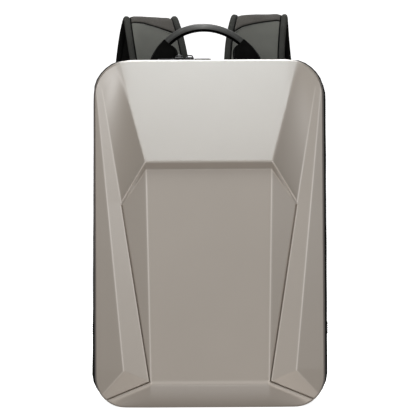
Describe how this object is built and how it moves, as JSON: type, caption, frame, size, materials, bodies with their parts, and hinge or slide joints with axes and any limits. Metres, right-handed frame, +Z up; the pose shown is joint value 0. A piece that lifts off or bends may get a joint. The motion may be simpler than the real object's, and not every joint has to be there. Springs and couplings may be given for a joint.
{
  "type": "hard-shell laptop backpack",
  "caption": "Slim laptop backpack with a faceted rigid front shell, zipped fabric side wall, padded back panel, arched top handle and padded shoulder straps.",
  "frame": {"origin": "on the ground, in the flat base, midway across the bag and near the middle of its fabric side wall from front to back", "axes": "+Z up from the base to the top handle, -Y out of the shell's front, +X to the right seen from the front"},
  "size_m": [0.3124, 0.253, 0.5283],
  "materials": {
    "shell_paint": "satin champagne-grey coating over moulded plastic",
    "side_fabric": "tight black woven polyester",
    "back_mesh": "black air-mesh over foam",
    "zip_tape": "black woven zip tape with a nylon coil",
    "zip_metal": "gunmetal plating",
    "grip_cover": "smooth dark grey synthetic leather",
    "webbing": "black woven webbing",
    "strap_fabric": "dark grey woven nylon over foam",
    "strap_binding": "charcoal rolled edge binding",
    "buckle_plastic": "black moulded plastic"
  },
  "bodies": {
    "root": {"front_shell": "shell_paint", "gusset": "side_fabric", "back_panel": "back_mesh", "zip_tape": "zip_tape", "zip_end_left": "side_fabric", "zip_end_right": "side_fabric", "zip_slider_left": "zip_metal", "zip_slider_right": "zip_metal", "zip_pull_left": "zip_metal", "zip_pull_right": "zip_metal", "handle_grip": "grip_cover", "handle_foot_left": "webbing", "handle_foot_right": "webbing", "strap_pad_left": "strap_fabric", "strap_pad_right": "strap_fabric", "strap_binding_outer_left": "strap_binding", "strap_binding_outer_right": "strap_binding", "strap_binding_inner_left": "strap_binding", "strap_binding_inner_right": "strap_binding", "strap_adjuster_left": "buckle_plastic", "strap_adjuster_right": "buckle_plastic", "strap_web_left": "webbing", "strap_web_right": "webbing", "strap_anchor_left": "side_fabric", "strap_anchor_right": "side_fabric"}
  },
  "joints": []
}
